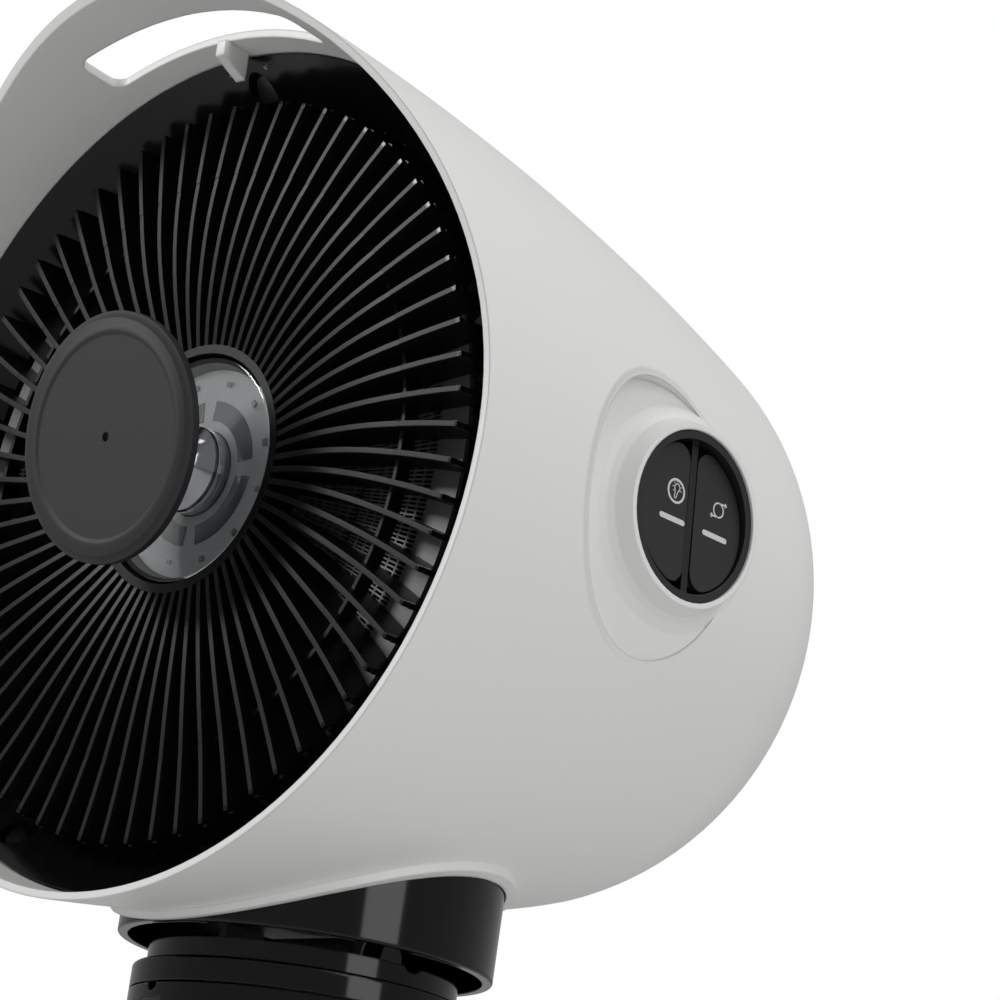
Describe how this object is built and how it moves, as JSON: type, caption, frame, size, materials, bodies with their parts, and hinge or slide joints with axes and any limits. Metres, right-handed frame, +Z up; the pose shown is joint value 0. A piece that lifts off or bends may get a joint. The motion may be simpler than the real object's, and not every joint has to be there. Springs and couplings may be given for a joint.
{
  "type": "air circulator fan",
  "caption": "Tabletop air circulator with a tapered barrel head, hooded carry handle, radial front grille with a lamp disc, side switch pod and a round column on a flat base.",
  "frame": {"origin": "on the floor under the centre of the base and the neck", "axes": "+Z up, the fan blows toward -Y, the switch pod is on the +X side"},
  "size_m": [0.27, 0.27, 0.4561],
  "materials": {
    "shell_white": "satin",
    "black_gloss": "gloss",
    "grille_black": "satin",
    "duct_black": "satin",
    "impeller_grey": "satin",
    "mesh_steel": "satin",
    "zinc_steel": "brushed",
    "washer_nylon": "satin",
    "motor_can": "satin",
    "bright_steel": "bright",
    "board_green": "matte",
    "board_white": "satin",
    "lens_clear": "clear",
    "stem_chrome": "polished",
    "disc_charcoal": "matte",
    "button_black": "satin",
    "weight_iron": "raw",
    "foot_rubber": "matte"
  },
  "bodies": {
    "base": {"base_plate": "duct_black", "base_cover": "shell_white", "base_weight": "weight_iron", "base_feet": "foot_rubber", "base_screws": "bright_steel", "dc_inlet": "duct_black", "column": "black_gloss", "column_window": "lens_clear", "main_board": "board_green", "pan_motor": "motor_can", "motor_screws": "bright_steel", "pan_bearing": "washer_nylon"},
    "turntable": {"turntable": "black_gloss", "pan_gear": "washer_nylon", "tilt_pins": "zinc_steel"},
    "pinion": {"pan_pinion": "washer_nylon"},
    "head": {"barrel_shell": "shell_white", "neck_collar": "black_gloss", "tilt_bracket": "zinc_steel", "tilt_washers": "washer_nylon", "fan_duct": "duct_black", "motor_mount": "duct_black", "mount_screws": "bright_steel", "fan_motor": "motor_can", "motor_board": "board_green", "rear_guard": "grille_black", "guard_mesh": "mesh_steel", "rear_grille": "grille_black", "switch_housing": "duct_black", "switch_board": "board_green", "switch_pin": "bright_steel"},
    "grille": {"front_grille": "grille_black", "front_screen": "mesh_steel", "lamp_tray": "grille_black", "lamp_board": "board_white", "lamp_lens": "lens_clear", "lamp_stem": "stem_chrome", "stem_screw": "bright_steel", "lamp_disc": "disc_charcoal"},
    "impeller": {"impeller": "impeller_grey", "motor_shaft": "bright_steel", "impeller_nut": "bright_steel"},
    "light_button": {"light_button": "button_black"},
    "swing_button": {"swing_button": "button_black"}
  },
  "joints": [
    {"name": "pan", "type": "hinge", "parent": "base", "child": "turntable", "pos_m": [0, 0, 0.196], "axis": [0, 0, 1], "range_deg": [-56, 34]},
    {"name": "pinion_spin", "type": "hinge", "parent": "base", "child": "pinion", "pos_m": [0, 0.03, 0.176], "axis": [0, 0, 1], "range_deg": [-102, 168]},
    {"name": "tilt", "type": "hinge", "parent": "turntable", "child": "head", "pos_m": [0, 0, 0.209], "axis": [-1, 0, 0], "range_deg": [-8, 15]},
    {"name": "impeller_spin", "type": "hinge", "parent": "head", "child": "impeller", "pos_m": [0, -0.07, 0.33], "axis": [0, -1, 0], "continuous": true},
    {"name": "grille_twist", "type": "hinge", "parent": "head", "child": "grille", "pos_m": [0, -0.07, 0.33], "axis": [0, -1, 0], "range_deg": [0, 12]},
    {"name": "light_press", "type": "hinge", "parent": "head", "child": "light_button", "pos_m": [0.0996, 0.02, 0.317], "axis": [0, -1, 0], "range_deg": [0, 3], "stiffness_Nm_per_rad": 0.3, "springref_deg": -2.86},
    {"name": "swing_press", "type": "hinge", "parent": "head", "child": "swing_button", "pos_m": [0.0996, 0.02, 0.317], "axis": [0, -1, 0], "range_deg": [0, 3], "stiffness_Nm_per_rad": 0.3, "springref_deg": -2.86}
  ],
  "couplings": [
    {"joint": "pinion_spin", "follows": "pan", "ratio": -3}
  ]
}
